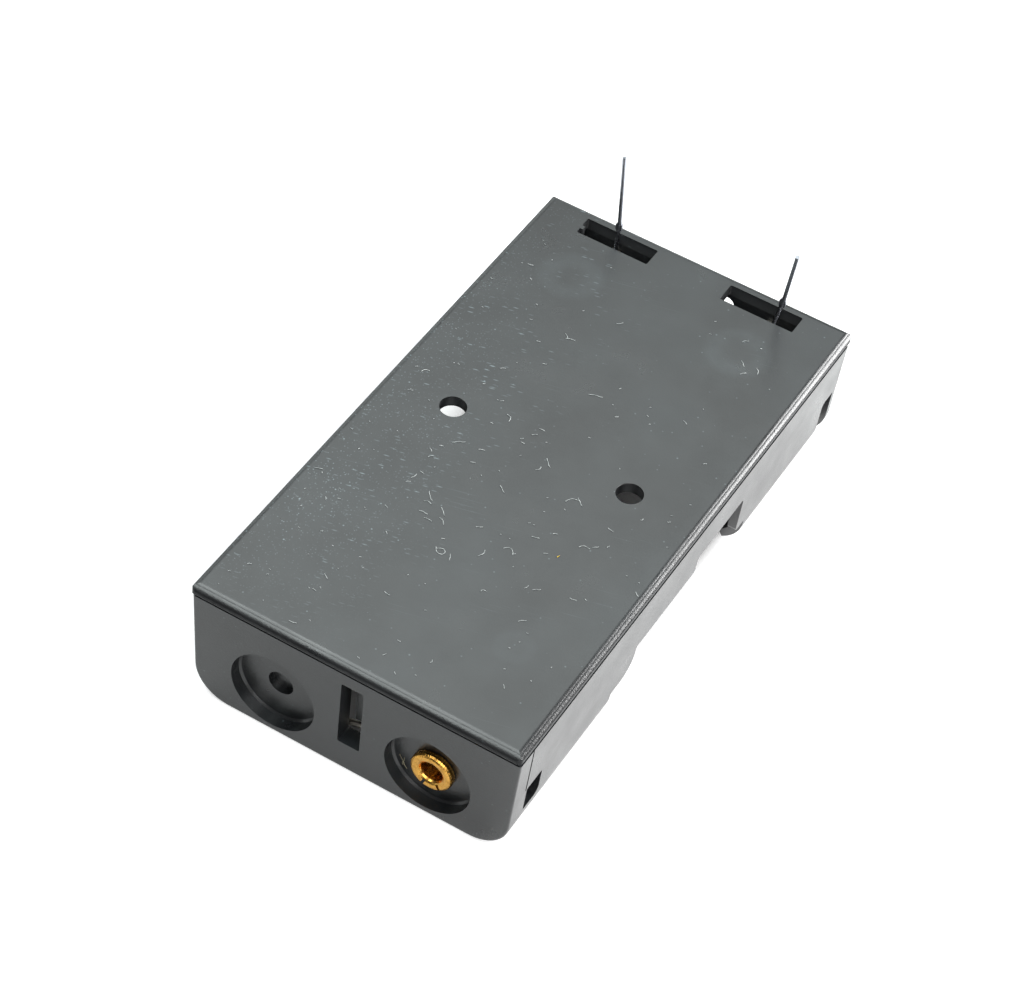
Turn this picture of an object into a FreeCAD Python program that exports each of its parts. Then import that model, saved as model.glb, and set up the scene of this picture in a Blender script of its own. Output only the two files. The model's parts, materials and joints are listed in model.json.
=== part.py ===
import FreeCAD, Part
import math
import os

os.makedirs("parts", exist_ok=True)
V = FreeCAD.Vector

# Two cells side by side
CELL_DIA = 18.3
CELL_LENGTH = 65.0
CELL_GAP = 1.5
CELL_AXIS_HEIGHT = 6.3
SIDE_MARGIN = 1.65
END_MARGIN = 6.3

# Base plate. It lies on top: the holder is drawn with its open side down and its pins up.
LENGTH = CELL_LENGTH + 2 * END_MARGIN
PLATE_WIDTH = 2 * CELL_DIA + CELL_GAP + 2 * SIDE_MARGIN
PLATE_THICK = 1.5
HEIGHT = 17.5
PLATE_CORNER = 0.6
PLATE_TOP_ROUND = 0.9
PLATE_LOW_ROUND = 0.25
RIM_GROOVE_HIGH = 0.5
RIM_GROOVE_DEEP = 0.25

# Side walls: drafted, curled under the cell at the free edge
WALL_INSET = 0.06
WALL_THICK = 1.1
WALL_DRAFT = 2.4
CURL_RADIUS = 4.6
LIP_ANGLE = 60.0

# Side wall openings, measured along the holder from its middle
LIP_FREE_EDGE = 4.9
NEAR_LIP_END = -16.3
BAND_START = -11.4
BAND_RIM = 8.3
BAND_CORNER = 2.8
FINGER_START = 2.3
FINGER_END = 13.4
FINGER_RIM = 10.6
FAR_LIP_START = 15.6
FAR_LIP_END = 34.7
WINDOW_GAP = 0.8
WINDOW_LENGTH = 3.2
WINDOW_LOW = 4.7
WINDOW_TOP = 8.4
SEAM_WIDTH = 0.25
SEAM_DEEP = 0.25

# End walls
NEAR_INSET = 0.3
NEAR_THICK = 2.3
NEAR_ROUND = 0.35
FAR_INSET = 0.4
FAR_THICK = 1.1
FAR_ROUND = 0.3
RECESS_RADIUS = 5.4
RECESS_DEEP = 1.7
RECESS_CHAMFER = 0.25
BOSS_RADIUS = 3.0
BOSS_HIGH = 0.9
BLIND_RADIUS = 1.6
BLIND_DEEP = 0.9
SLOT_WIDTH = 2.8
SLOT_LOW = 4.25
SLOT_HIGH = 9.6
FAR_HOLE_RADIUS = 1.1
FAR_HOLE_X = 4.7
FAR_HOLE_Z = 14.3

# Divider between the cells
DIVIDER_THICK = 1.2
DIVIDER_LOW = 6.2

# Screw holes through the base plate
SCREW_SPACING = 23.2
SCREW_RADIUS = 1.62
SCREW_Y = 0.38

# Slots in the base plate for the far contacts
PLATE_SLOT_LENGTH = 9.75
PLATE_SLOT_WIDTH = 2.9
PLATE_SLOT_SHIFT = 0.1
NUB_LONG = 0.45
NUB_WIDE = 0.6
NUB_BACK = 1.5

# Guides that hold the far contacts
CONTACT_WIDTH = 9.0
CONTACT_THICK = 0.3
CONTACT_LOW = 1.8
CONTACT_TOP = 12.3
CONTACT_PLAY = 0.05
GUIDE_PLAY = 0.1
GUIDE_THICK = 1.0
GUIDE_HOOK = 0.4
GUIDE_HOOK_THICK = 0.55
GUIDE_TOP = 12.5
SHELF_THICK = 0.6

# Contact tabs and pins
TAB_WIDTH = 1.2
TAB_TOP = 14.9
TAB_SHIFT = 0.15
DOME_RADIUS = 2.5
DOME_HIGH = 1.2
PIN_DIA = 0.52
PIN_LOW = 12.9
PIN_TOP = 28.1
SHOULDER_LOW = 18.55
SHOULDER_HIGH = 0.95
SHOULDER_WIDE = 0.85
SHOULDER_THICK = 0.3
PLUS_PIN_SHIFT = -0.5
PLUS_PIN_LEAN = (-1.45, 1.75)
MINUS_PIN_SHIFT = 1.15
MINUS_PIN_ROOT_LEAN = 1.0
MINUS_PIN_LEAN = (1.05, -1.4)

# Spring wire
LINK_WIRE = 0.76
LINK_BASE_RADIUS = 4.1
LINK_TIP_RADIUS = 2.3
LINK_FREE = 10.9
LINK_LOOP_RADIUS = 1.95
MINUS_WIRE = 0.7
MINUS_BASE_RADIUS = 3.4
MINUS_TIP_RADIUS = 2.0
MINUS_NECK_STEP = 0.15
MINUS_FREE = 9.3
MINUS_END_ANGLE = 40.0
SPRING_TURNS = 6.0
SPRING_GAP = 0.06
SPRING_PLAY = 0.04
WIRE_SIDES = 10
WIRE_STEPS = 14

# Eyelet
EYELET_BORE = 1.35
EYELET_WALL = 0.2
EYELET_PLAY = 0.03
EYELET_DROP = 0.35
EYELET_ROLL_RADIUS = 2.65
EYELET_ROLL_HIGH = 1.05
EYELET_HEAD_RADIUS = 3.5
EYELET_HEAD_THICK = 0.3
EYELET_NOTCH_WIDE = 0.35
EYELET_NOTCH_ANGLES = (-112.0, -56.0)

# Claws that hold the base turn of the far spring
CLAW_WIDE = 1.3
CLAW_THICK = 0.25
CLAW_REACH = 0.2
CLAW_PLAY = 0.1
CLAW_TURNS = (0.08, 0.36, 0.64)

# Derived sizes
HALF_LENGTH = LENGTH / 2
PLATE_LOW = HEIGHT - PLATE_THICK
WALL_HALF = PLATE_WIDTH / 2 - WALL_INSET
BAY_X = (CELL_DIA + CELL_GAP) / 2
NEAR_OUT = -HALF_LENGTH + NEAR_INSET
NEAR_IN = NEAR_OUT + NEAR_THICK
FAR_OUT = HALF_LENGTH - FAR_INSET
FAR_IN = FAR_OUT - FAR_THICK
RECESS_FLOOR = NEAR_OUT + RECESS_DEEP
BOSS_FACE = NEAR_IN + BOSS_HIGH
WINDOW_START = NEAR_IN + WINDOW_GAP
CONTACT_BACK = FAR_IN - CONTACT_PLAY
CONTACT_FACE = CONTACT_BACK - CONTACT_THICK
GUIDE_REACH = CONTACT_FACE - GUIDE_PLAY - GUIDE_HOOK_THICK
GUIDE_IN = CONTACT_WIDTH / 2 + GUIDE_PLAY
PIN_Y = CONTACT_FACE - PIN_DIA / 2
PLUS_PIN_X = -BAY_X + PLUS_PIN_SHIFT
MINUS_PIN_X = BAY_X + MINUS_PIN_SHIFT
WALL_ROOT = PLATE_LOW + PLATE_THICK / 3
TUBE_RADIUS = EYELET_BORE + EYELET_WALL
LINK_BASE_Y = NEAR_IN + LINK_WIRE / 2 + SPRING_PLAY
LOOP_Y = BOSS_FACE + LINK_WIRE / 2 + SPRING_PLAY
HEAD_Y = LOOP_Y + LINK_WIRE / 2 + SPRING_PLAY
MINUS_BASE_Y = CONTACT_FACE - MINUS_WIRE / 2 - SPRING_PLAY
MINUS_NECK_RADIUS = MINUS_BASE_RADIUS - MINUS_WIRE - MINUS_NECK_STEP
EYELET_HEIGHT = CELL_AXIS_HEIGHT - EYELET_DROP


def wall_half_at(z):
    """Half width of the drafted walls at a height."""
    return WALL_HALF - (PLATE_LOW - z) * math.tan(math.radians(WALL_DRAFT))


def rounded_face(corners, place):
    """Flat face through corners given as (u, v, radius)."""
    spans = []
    for i, (u, v, radius) in enumerate(corners):
        corner = place(u, v)
        if radius == 0:
            spans.append((corner, None, corner))
            continue
        before = corners[i - 1]
        after = corners[(i + 1) % len(corners)]
        back = (place(before[0], before[1]) - corner).normalize()
        ahead = (place(after[0], after[1]) - corner).normalize()
        half = back.getAngle(ahead) / 2
        reach = radius / math.tan(half)
        inward = (back + ahead).normalize()
        middle = corner + inward * (radius / math.sin(half) - radius)
        spans.append((corner + back * reach, middle, corner + ahead * reach))
    edges = []
    for i, (start, middle, finish) in enumerate(spans):
        if middle is not None:
            edges.append(Part.Arc(start, middle, finish).toShape())
        nearby = spans[(i + 1) % len(spans)][0]
        if finish.distanceToPoint(nearby) > 1e-6:
            edges.append(Part.LineSegment(finish, nearby).toShape())
    return Part.Face(Part.Wire(edges))


def across_x(x):
    return lambda y, z: V(x, y, z)


def across_y(y):
    return lambda x, z: V(x, y, z)


def across_z(z):
    return lambda x, y: V(x, y, z)


def box(x0, x1, y0, y1, z0, z1):
    return Part.makeBox(x1 - x0, y1 - y0, z1 - z0, V(x0, y0, z0))


def drum(radius, y0, y1, x, z):
    """Cylinder along the holder."""
    return Part.makeCylinder(radius, y1 - y0, V(x, y0, z), V(0, 1, 0))


def turned_about_y(points, x, z):
    """Solid turned about an axis along the holder, from (radius, y) points."""
    corners = [V(x + radius, y, z) for radius, y in points]
    face = Part.Face(Part.makePolygon(corners + [corners[0]]))
    return face.revolve(V(x, 0, z), V(0, 1, 0), 360)


def half_turn(shape):
    turned = shape.copy()
    turned.rotate(V(0, 0, 0), V(0, 0, 1), 180)
    return turned


def base_plate():
    """Flat plate with a rounded edge, softer above than below."""
    x = PLATE_WIDTH / 2
    y = HALF_LENGTH
    r = PLATE_CORNER
    plate = box(-x, x, -y, y, PLATE_LOW, HEIGHT)
    for level, radius in ((HEIGHT, PLATE_TOP_ROUND), (PLATE_LOW, PLATE_LOW_ROUND)):
        rim = [e for e in plate.Edges if all(abs(v.Z - level) < 1e-6 for v in e.Vertexes)]
        plate = plate.makeFillet(radius, rim)
    corners = [(-x, -y, r), (x, -y, r), (x, y, r), (-x, y, r)]
    return plate.common(rounded_face(corners, across_z(PLATE_LOW - 1)).extrude(V(0, 0, PLATE_THICK + 2)))


def end_wall(y0, y1, outside, radius):
    """Full width wall across the holder with its outer outline rounded over."""
    corners = [
        (-wall_half_at(WALL_ROOT), WALL_ROOT, 0),
        (wall_half_at(WALL_ROOT), WALL_ROOT, 0),
        (wall_half_at(0), 0, CURL_RADIUS),
        (-wall_half_at(0), 0, CURL_RADIUS),
    ]
    wall = rounded_face(corners, across_y(y0)).extrude(V(0, y1 - y0, 0))
    outline = [e for e in wall.Edges if all(abs(v.Y - outside) < 1e-6 for v in e.Vertexes)]
    return wall.makeFillet(radius, [e for e in outline if e.CenterOfMass.z < WALL_ROOT - 0.1])


def wall_section():
    """Cross section of the right side wall with its curled lip."""
    draft = math.radians(WALL_DRAFT)
    top = WALL_ROOT
    place = across_y(-LENGTH)
    middle_x = wall_half_at(CURL_RADIUS) - CURL_RADIUS / math.cos(draft)

    def on_curl(radius, angle):
        return place(middle_x + radius * math.cos(angle), CURL_RADIUS + radius * math.sin(angle))

    inner = CURL_RADIUS - WALL_THICK
    lip = math.radians(-LIP_ANGLE)
    half = (lip - draft) / 2
    outer_top = place(wall_half_at(top), top)
    inner_top = place(wall_half_at(top) - WALL_THICK / math.cos(draft), top)
    edges = [
        Part.LineSegment(outer_top, on_curl(CURL_RADIUS, -draft)),
        Part.Arc(on_curl(CURL_RADIUS, -draft), on_curl(CURL_RADIUS, half), on_curl(CURL_RADIUS, lip)),
        Part.LineSegment(on_curl(CURL_RADIUS, lip), on_curl(inner, lip)),
        Part.Arc(on_curl(inner, lip), on_curl(inner, half), on_curl(inner, -draft)),
        Part.LineSegment(on_curl(inner, -draft), inner_top),
        Part.LineSegment(inner_top, outer_top),
    ]
    return Part.Face(Part.Wire([edge.toShape() for edge in edges]))


def side_cuts():
    """Openings of the right side wall: grip notch, far relief and near window."""
    below = -1.0
    notch = [
        (NEAR_LIP_END, below, 0),
        (NEAR_LIP_END, LIP_FREE_EDGE, 0.3),
        (BAND_START, LIP_FREE_EDGE, BAND_CORNER),
        (BAND_START, BAND_RIM, 0.25),
        (FINGER_START, BAND_RIM, 0.5),
        (FINGER_START, FINGER_RIM, 0.5),
        (FINGER_END, FINGER_RIM, 0.5),
        (FINGER_END, LIP_FREE_EDGE, 0.5),
        (FAR_LIP_START, LIP_FREE_EDGE, 0.3),
        (FAR_LIP_START, below, 0),
    ]
    relief = [
        (FAR_LIP_END, below, 0),
        (FAR_LIP_END, WINDOW_TOP, 0.7),
        (HALF_LENGTH, WINDOW_TOP, 0),
        (HALF_LENGTH, below, 0),
    ]
    finish = WINDOW_START + WINDOW_LENGTH
    window = [
        (WINDOW_START, WINDOW_LOW, 0.2),
        (finish, WINDOW_LOW, 1.0),
        (finish, WINDOW_TOP, 0.3),
        (WINDOW_START, WINDOW_TOP, 0.3),
    ]
    start = wall_half_at(0) - CURL_RADIUS - 2
    return [rounded_face(cut, across_x(start)).extrude(V(12, 0, 0)) for cut in (notch, relief, window)]


def seam_cut():
    """Shallow upright groove where the side wall meets the near end block."""
    y = WINDOW_START - WINDOW_GAP / 2
    low = WINDOW_TOP
    high = PLATE_LOW
    corners = [
        (wall_half_at(low) - SEAM_DEEP, low, 0),
        (wall_half_at(low) + 1, low, 0),
        (wall_half_at(high) + 1, high, 0),
        (wall_half_at(high) - SEAM_DEEP, high, 0),
    ]
    return rounded_face(corners, across_y(y)).extrude(V(0, SEAM_WIDTH, 0))


def side_walls():
    """Both side walls. The second has the same openings turned end for end."""
    wall = wall_section().extrude(V(0, 2 * LENGTH, 0))
    for cut in side_cuts() + [seam_cut()]:
        wall = wall.cut(cut)
    span = box(-PLATE_WIDTH, PLATE_WIDTH, NEAR_OUT + NEAR_THICK / 2, (FAR_IN + FAR_OUT) / 2, -1, HEIGHT)
    return [wall.common(span), half_turn(wall).common(span)]


def rim_groove():
    """Shadow line around the walls under the base plate, cut before the plate joins them."""
    low = PLATE_LOW - RIM_GROOVE_HIGH
    x = wall_half_at(low) - RIM_GROOVE_DEEP
    outside = box(-PLATE_WIDTH, PLATE_WIDTH, -LENGTH, LENGTH, low, HEIGHT)
    kept = box(-x, x, NEAR_OUT + RIM_GROOVE_DEEP, FAR_OUT - RIM_GROOVE_DEEP, low - 1, HEIGHT)
    return outside.cut(kept)


def recess(x):
    """Round pocket in the near wall with a small chamfer round its floor."""
    pocket = drum(RECESS_RADIUS, NEAR_OUT - 1, RECESS_FLOOR, x, CELL_AXIS_HEIGHT)
    floor = [e for e in pocket.Edges if all(abs(v.Y - RECESS_FLOOR) < 1e-6 for v in e.Vertexes)]
    return pocket.makeChamfer(RECESS_CHAMFER, [e for e in floor if e.Closed])


def near_wall():
    wall = end_wall(NEAR_OUT, NEAR_IN, NEAR_OUT, NEAR_ROUND)
    for x, height in ((-BAY_X, CELL_AXIS_HEIGHT), (BAY_X, EYELET_HEIGHT)):
        wall = wall.fuse(drum(BOSS_RADIUS, NEAR_IN - 0.2, BOSS_FACE, x, height))
        wall = wall.cut(recess(x))
    wall = wall.cut(drum(BLIND_RADIUS, NEAR_OUT, RECESS_FLOOR + BLIND_DEEP, -BAY_X, CELL_AXIS_HEIGHT))
    wall = wall.cut(drum(TUBE_RADIUS + EYELET_PLAY, NEAR_OUT, BOSS_FACE + 1, BAY_X, EYELET_HEIGHT))
    x = SLOT_WIDTH / 2
    top = SLOT_LOW + SLOT_HIGH
    corners = [(-x, SLOT_LOW, 0.25), (x, SLOT_LOW, 0.25), (x, top, 0.25), (-x, top, 0.25)]
    slot = rounded_face(corners, across_y(NEAR_OUT - 1)).extrude(V(0, NEAR_THICK + 2, 0))
    return wall.cut(slot)


def far_wall():
    wall = end_wall(FAR_IN, FAR_OUT, FAR_OUT, FAR_ROUND)
    for x in (-FAR_HOLE_X, FAR_HOLE_X):
        wall = wall.cut(drum(FAR_HOLE_RADIUS, FAR_IN - 1, FAR_OUT + 1, x, FAR_HOLE_Z))
    return wall


def contact_guide(bay):
    """Two hooked rails and a shelf that hold a far contact plate."""
    low = CONTACT_LOW - CONTACT_PLAY - SHELF_THICK
    hook = GUIDE_IN - GUIDE_HOOK
    back = FAR_IN + FAR_THICK / 2
    rails = []
    for side in (-1, 1):
        inner, hooked, outer = [bay + side * d for d in (GUIDE_IN, hook, GUIDE_IN + GUIDE_THICK)]
        rails.append(box(min(inner, outer), max(inner, outer), GUIDE_REACH, back, low, GUIDE_TOP))
        front = GUIDE_REACH + GUIDE_HOOK_THICK
        rails.append(box(min(hooked, outer), max(hooked, outer), GUIDE_REACH, front, low, GUIDE_TOP))
    rails.append(box(bay - GUIDE_IN, bay + GUIDE_IN, GUIDE_REACH, back, low, low + SHELF_THICK))
    return rails


def divider():
    x = DIVIDER_THICK / 2
    return box(-x, x, NEAR_IN, FAR_IN + FAR_THICK / 2, DIVIDER_LOW, WALL_ROOT)


def plate_slot(bay):
    x = PLATE_SLOT_LENGTH / 2
    middle = bay - PLATE_SLOT_SHIFT
    start = FAR_IN - PLATE_SLOT_WIDTH
    r = 0.2
    corners = [
        (middle - x, start, r),
        (middle + x, start, r),
        (middle + x, FAR_IN, r),
        (middle - x, FAR_IN, r),
    ]
    return rounded_face(corners, across_z(PLATE_LOW - 1)).extrude(V(0, 0, PLATE_THICK + 2))


def slot_nub():
    """Small tooth at the outer end of the left slot."""
    start = -BAY_X - PLATE_SLOT_SHIFT - PLATE_SLOT_LENGTH / 2
    back = FAR_IN - NUB_BACK
    return box(start - 0.2, start + NUB_LONG, back - NUB_WIDE, back, PLATE_LOW, HEIGHT)


def holder_body():
    walls = near_wall().fuse([far_wall(), divider()] + side_walls())
    body = base_plate().fuse(walls.cut(rim_groove()))
    for bay in (-BAY_X, BAY_X):
        body = body.fuse(contact_guide(bay)).cut(plate_slot(bay))
        hole = Part.makeCylinder(SCREW_RADIUS, 4 * PLATE_THICK, V(0, SCREW_Y, PLATE_LOW - PLATE_THICK))
        hole.translate(V(math.copysign(SCREW_SPACING / 2, bay), 0, 0))
        body = body.cut(hole)
    return body.fuse(slot_nub()).removeSplitter()


def contact_plate(bay, tab_x):
    """Flat stamped plate with a tab that stands in the base slot."""
    x = CONTACT_WIDTH / 2
    side = TAB_WIDTH / 2
    corners = [
        (bay - x, CONTACT_LOW, 0.4),
        (bay + x, CONTACT_LOW, 0.4),
        (bay + x, CONTACT_TOP, 0.6),
        (tab_x + side, CONTACT_TOP, 0.4),
        (tab_x + side, TAB_TOP, 0.15),
        (tab_x - side, TAB_TOP, 0.15),
        (tab_x - side, CONTACT_TOP, 0.4),
        (bay - x, CONTACT_TOP, 0.6),
    ]
    return rounded_face(corners, across_y(CONTACT_FACE)).extrude(V(0, CONTACT_THICK, 0))


def dome(bay):
    """Pressed dome: the sheet runs on at its own thickness."""
    rise = DOME_RADIUS * 0.35
    front = CONTACT_FACE - DOME_HIGH
    points = [
        (0, front),
        (rise, front + 0.05),
        (DOME_RADIUS * 0.65, front + 0.3),
        (DOME_RADIUS * 0.85, front + 0.75),
        (DOME_RADIUS, CONTACT_FACE),
        (DOME_RADIUS + 0.05, CONTACT_BACK),
        (DOME_RADIUS - 0.25, CONTACT_BACK),
        (DOME_RADIUS * 0.85 - 0.28, front + 0.75 + 0.15),
        (DOME_RADIUS * 0.65 - 0.2, front + 0.3 + 0.25),
        (rise, front + 0.05 + CONTACT_THICK),
        (0, front + CONTACT_THICK),
    ]
    return turned_about_y(points, bay, CELL_AXIS_HEIGHT)


def plus_contact():
    plate = contact_plate(-BAY_X, PLUS_PIN_X - TAB_SHIFT)
    plate = plate.cut(drum(DOME_RADIUS - 0.05, CONTACT_FACE - 1, CONTACT_BACK + 1, -BAY_X, CELL_AXIS_HEIGHT))
    return plate.fuse(dome(-BAY_X)).removeSplitter()


def claw(turn):
    """Hook bent up from the plate over the base turn of the spring, which rises from hook to hook."""
    inside = MINUS_BASE_RADIUS + MINUS_WIRE / 2 + CLAW_PLAY
    front = MINUS_BASE_Y - (MINUS_WIRE + SPRING_GAP) * turn - MINUS_WIRE / 2 - CLAW_PLAY
    half = CLAW_WIDE / 2
    post = box(inside, inside + CLAW_THICK, front - CLAW_THICK, CONTACT_FACE + 0.1, -half, half)
    hook = box(MINUS_BASE_RADIUS - CLAW_REACH, inside + CLAW_THICK, front - CLAW_THICK, front, -half, half)
    shape = post.fuse(hook)
    shape.rotate(V(0, 0, 0), V(0, -1, 0), MINUS_END_ANGLE - 360 * turn)
    shape.translate(V(BAY_X, 0, CELL_AXIS_HEIGHT))
    return shape


def minus_plate():
    plate = contact_plate(BAY_X, MINUS_PIN_X - TAB_SHIFT)
    return plate.fuse([claw(turn) for turn in CLAW_TURNS]).removeSplitter()


def rod(points, diameter):
    """Round wire along straight legs, with round joints."""
    shape = None
    for start, finish in zip(points, points[1:]):
        leg = Part.makeCylinder(diameter / 2, start.distanceToPoint(finish), start, finish - start)
        shape = leg if shape is None else shape.fuse([leg, Part.makeSphere(diameter / 2, start)])
    return shape


def shoulder(x):
    """Flattened stop on the pin just above the base plate."""
    high = SHOULDER_LOW + SHOULDER_HIGH
    wide = SHOULDER_WIDE / 2
    slim = PIN_DIA / 2 - 0.02
    corners = [
        (x - slim, SHOULDER_LOW - 0.2, 0),
        (x + slim, SHOULDER_LOW - 0.2, 0),
        (x + wide, SHOULDER_LOW + 0.1, 0.1),
        (x + wide, high - 0.1, 0.1),
        (x + slim, high + 0.2, 0),
        (x - slim, high + 0.2, 0),
        (x - wide, high - 0.1, 0.1),
        (x - wide, SHOULDER_LOW + 0.1, 0.1),
    ]
    return rounded_face(corners, across_y(PIN_Y - SHOULDER_THICK / 2)).extrude(V(0, SHOULDER_THICK, 0))


def lead(x, root_lean, lean):
    """Pin: round wire up the tab, a flattened shoulder, then the leaning free end."""
    bend_z = SHOULDER_LOW + SHOULDER_HIGH
    bend_x = x + root_lean
    root = V(x, PIN_Y, PIN_LOW)
    bend = V(bend_x, PIN_Y, bend_z)
    top = V(bend_x + lean[0], PIN_Y + lean[1], PIN_TOP)
    middle = x + root_lean * (SHOULDER_LOW + SHOULDER_HIGH / 2 - PIN_LOW) / (bend_z - PIN_LOW)
    return rod([root, bend, top], PIN_DIA).fuse(shoulder(middle)).removeSplitter()


def wire_ring(point, heading, diameter):
    """Section of the wire at a point, as a ring of straight sides with the area of the round wire."""
    side = heading.cross(V(0, 1, 0)).normalize()
    up = side.cross(heading).normalize()
    step = 2 * math.pi / WIRE_SIDES
    radius = diameter / 2 * math.sqrt(step / math.sin(step))
    ring = [point + (side * math.cos(step * i) + up * math.sin(step * i)) * radius for i in range(WIRE_SIDES)]
    return Part.makePolygon(ring + ring[:1])


def swept_wire(points, diameter):
    """Spring wire: a section at each point, joined along the wire."""
    rings = []
    for i, point in enumerate(points):
        heading = (points[min(i + 1, len(points) - 1)] - points[max(i - 1, 0)]).normalize()
        rings.append(wire_ring(point, heading, diameter))
    return Part.makeLoft(rings, True, True)


def smooth_step(value):
    share = min(max(value, 0.0), 1.0)
    return share * share * (3 - 2 * share)


def coil_radius(turn, radii):
    """Radius at a turn counted from the base. Radii are base, neck and tip."""
    base, neck, tip = radii
    if turn < 1.05:
        return base + (neck - base) * smooth_step((turn - 0.75) / 0.3)
    share = min((turn - 1.05) / (SPRING_TURNS - 2.05), 1.0)
    return neck + (tip - neck) * share


def cone_coil(x, wire, base_y, tip_y, radii, end_angle):
    """Points of a conical coil from its tip to its base. The first and last turns lie wire on wire."""
    closed = wire + SPRING_GAP
    steps = int(SPRING_TURNS * WIRE_STEPS)
    opened = [0.0]
    for i in range(steps):
        turn = (i + 0.5) / WIRE_STEPS
        opened.append(opened[-1] + smooth_step((turn - 1) * 2) * smooth_step((SPRING_TURNS - 1 - turn) * 2))
    spread = abs(tip_y - base_y) - closed * SPRING_TURNS
    toward_tip = math.copysign(1.0, tip_y - base_y)
    points = []
    for i in range(steps, -1, -1):
        turn = i / WIRE_STEPS
        radius = coil_radius(turn, radii)
        y = base_y + toward_tip * (closed * turn + spread * opened[i] / opened[-1])
        angle = math.radians(end_angle) - 2 * math.pi * turn
        points.append(V(x + radius * math.cos(angle), y, CELL_AXIS_HEIGHT + radius * math.sin(angle)))
    return points


def link_spring():
    """Coil of the left bay, its tail across the holder and the loop under the eyelet."""
    reach = LINK_BASE_RADIUS + LINK_LOOP_RADIUS
    across = math.hypot(2 * BAY_X, EYELET_DROP)
    slope = math.asin(reach / across) - math.asin(EYELET_DROP / across)
    leave = math.degrees(slope) - 90
    tip_y = LINK_BASE_Y + LINK_FREE
    radii = (LINK_BASE_RADIUS, LINK_BASE_RADIUS, LINK_TIP_RADIUS)
    points = cone_coil(-BAY_X, LINK_WIRE, LINK_BASE_Y, tip_y, radii, leave)
    last = points[-1]
    arrive = V(BAY_X - LINK_LOOP_RADIUS * math.sin(slope), LOOP_Y,
               EYELET_HEIGHT + LINK_LOOP_RADIUS * math.cos(slope))
    step_start = BAY_X - BOSS_RADIUS - 2.2
    step_end = BAY_X - BOSS_RADIUS - 0.35
    count = 20
    for i in range(1, count + 1):
        x = last.x + (arrive.x - last.x) * i / count
        y = LINK_BASE_Y + (LOOP_Y - LINK_BASE_Y) * smooth_step((x - step_start) / (step_end - step_start))
        points.append(V(x, y, last.z + (x - last.x) * math.tan(slope)))
    for i in range(1, 19):
        angle = slope + math.pi / 2 - math.radians(17.0 * i)
        points.append(V(BAY_X + LINK_LOOP_RADIUS * math.cos(angle), LOOP_Y,
                        EYELET_HEIGHT + LINK_LOOP_RADIUS * math.sin(angle)))
    return swept_wire(points, LINK_WIRE)


def minus_spring():
    tip_y = MINUS_BASE_Y - MINUS_FREE
    radii = (MINUS_BASE_RADIUS, MINUS_NECK_RADIUS, MINUS_TIP_RADIUS)
    points = cone_coil(BAY_X, MINUS_WIRE, MINUS_BASE_Y, tip_y, radii, MINUS_END_ANGLE)
    return swept_wire(points, MINUS_WIRE)


def eyelet_notch(angle):
    """Split in the rolled edge."""
    half = EYELET_NOTCH_WIDE / 2
    cut = box(TUBE_RADIUS + 0.1, EYELET_ROLL_RADIUS + 1, NEAR_OUT - 1, RECESS_FLOOR + 0.1, -half, half)
    cut.rotate(V(0, 0, 0), V(0, -1, 0), angle)
    cut.translate(V(BAY_X, 0, EYELET_HEIGHT))
    return cut


def link_eyelet():
    """Tube with a flat head inside and a rolled edge in the recess."""
    seat = RECESS_FLOOR - EYELET_PLAY
    roll = seat - EYELET_ROLL_HIGH
    head_back = HEAD_Y + EYELET_HEAD_THICK
    points = [
        (EYELET_BORE, head_back),
        (EYELET_HEAD_RADIUS - 0.1, head_back),
        (EYELET_HEAD_RADIUS, head_back - 0.1),
        (EYELET_HEAD_RADIUS, HEAD_Y),
        (TUBE_RADIUS, HEAD_Y),
        (TUBE_RADIUS, seat),
        (EYELET_ROLL_RADIUS - 0.2, seat),
        (EYELET_ROLL_RADIUS - 0.04, seat - 0.12),
        (EYELET_ROLL_RADIUS, seat - 0.35),
        (EYELET_ROLL_RADIUS - 0.03, roll + 0.35),
        (EYELET_ROLL_RADIUS - 0.15, roll + 0.14),
        (EYELET_ROLL_RADIUS - 0.35, roll + 0.03),
        (EYELET_BORE + 0.65, roll),
        (EYELET_BORE + 0.4, roll + 0.05),
        (EYELET_BORE + 0.16, roll + 0.2),
        (EYELET_BORE + 0.04, roll + 0.42),
        (EYELET_BORE, roll + 0.65),
    ]
    eyelet = turned_about_y(points, BAY_X, EYELET_HEIGHT)
    for angle in EYELET_NOTCH_ANGLES:
        eyelet = eyelet.cut(eyelet_notch(angle))
    return eyelet


def build():
    return {
        "holder_body": holder_body(),
        "link_spring": link_spring(),
        "link_eyelet": link_eyelet(),
        "plus_contact": plus_contact(),
        "plus_lead": lead(PLUS_PIN_X, 0.0, PLUS_PIN_LEAN),
        "minus_plate": minus_plate(),
        "minus_spring": minus_spring(),
        "minus_lead": lead(MINUS_PIN_X, MINUS_PIN_ROOT_LEAN, MINUS_PIN_LEAN),
    }


for name, shape in build().items():
    if not shape.isValid() or len(shape.Solids) != 1:
        raise SystemExit("%s is not one valid solid" % name)
    shape.exportStep("parts/%s.step" % name)
    extent = shape.BoundBox
    print(name, round(shape.Volume, 2), [round(v, 2) for v in (
        extent.XMin, extent.XMax, extent.YMin, extent.YMax, extent.ZMin, extent.ZMax)])
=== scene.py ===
"""Dresses the two-bay cell holder: smooth contact springs, lint, materials and a pale studio."""

import json
import math
import random

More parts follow.
